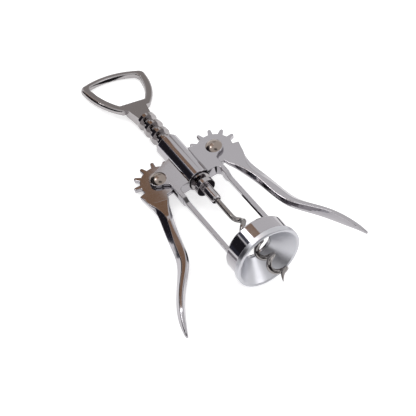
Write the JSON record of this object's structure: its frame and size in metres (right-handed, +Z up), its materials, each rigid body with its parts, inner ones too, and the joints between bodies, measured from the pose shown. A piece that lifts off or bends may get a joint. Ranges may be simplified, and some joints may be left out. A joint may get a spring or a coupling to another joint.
{
  "type": "wing corkscrew",
  "caption": "Wing corkscrew with an opener head on a ringed rack, geared lever wings, a bell that sits on the bottle and a wire worm.",
  "frame": {"origin": "bottom centre of the bounding box, on the floor that the tool lies on", "axes": "+Y along the tool from the bell to the opener head, +Z up from the floor"},
  "size_m": [0.0984, 0.1682, 0.0361],
  "materials": {
    "chrome_casting": "polished chrome plate on a zinc casting",
    "chrome_handle": "polished chrome plate on a zinc casting",
    "satin_liner": "satin, pale grey",
    "nickel_rivet": "polished nickel plate",
    "steel_wire": "polished nickel-plated steel wire",
    "steel_fitting": "turned, nickel-plated steel"
  },
  "bodies": {
    "frame": {"frame": "chrome_casting", "bell_liner": "satin_liner", "left_rivet": "nickel_rivet", "right_rivet": "nickel_rivet"},
    "left_wing": {"left_wing": "chrome_casting"},
    "right_wing": {"right_wing": "chrome_casting"},
    "slider": {"stop_washer": "steel_fitting"},
    "handle": {"handle": "chrome_handle", "ferrule": "steel_fitting", "worm_pin": "steel_fitting", "worm": "steel_wire"}
  },
  "joints": [
    {"name": "rack_slide", "type": "slide", "parent": "frame", "child": "slider", "axis": [0, 0.994, -0.109], "range_m": [-0.024, 0.002]},
    {"name": "handle_spin", "type": "hinge", "parent": "slider", "child": "handle", "pos_m": [0.0046, -0.01018, 0.01202], "axis": [0, 0.994, -0.109], "continuous": true},
    {"name": "left_wing_hinge", "type": "hinge", "parent": "frame", "child": "left_wing", "pos_m": [-0.01144, 0.00551, 0.00527], "axis": [0.2977, -0.104, -0.949], "range_deg": [-9.61, 114.22]},
    {"name": "right_wing_hinge", "type": "hinge", "parent": "frame", "child": "right_wing", "pos_m": [0.02064, 0.0066, 0.01521], "axis": [-0.2977, 0.104, 0.949], "range_deg": [-9.61, 114.22]}
  ],
  "couplings": [
    {"joint": "left_wing_hinge", "follows": "rack_slide", "rad_per_m": -82.988},
    {"joint": "right_wing_hinge", "follows": "rack_slide", "rad_per_m": -82.988}
  ]
}
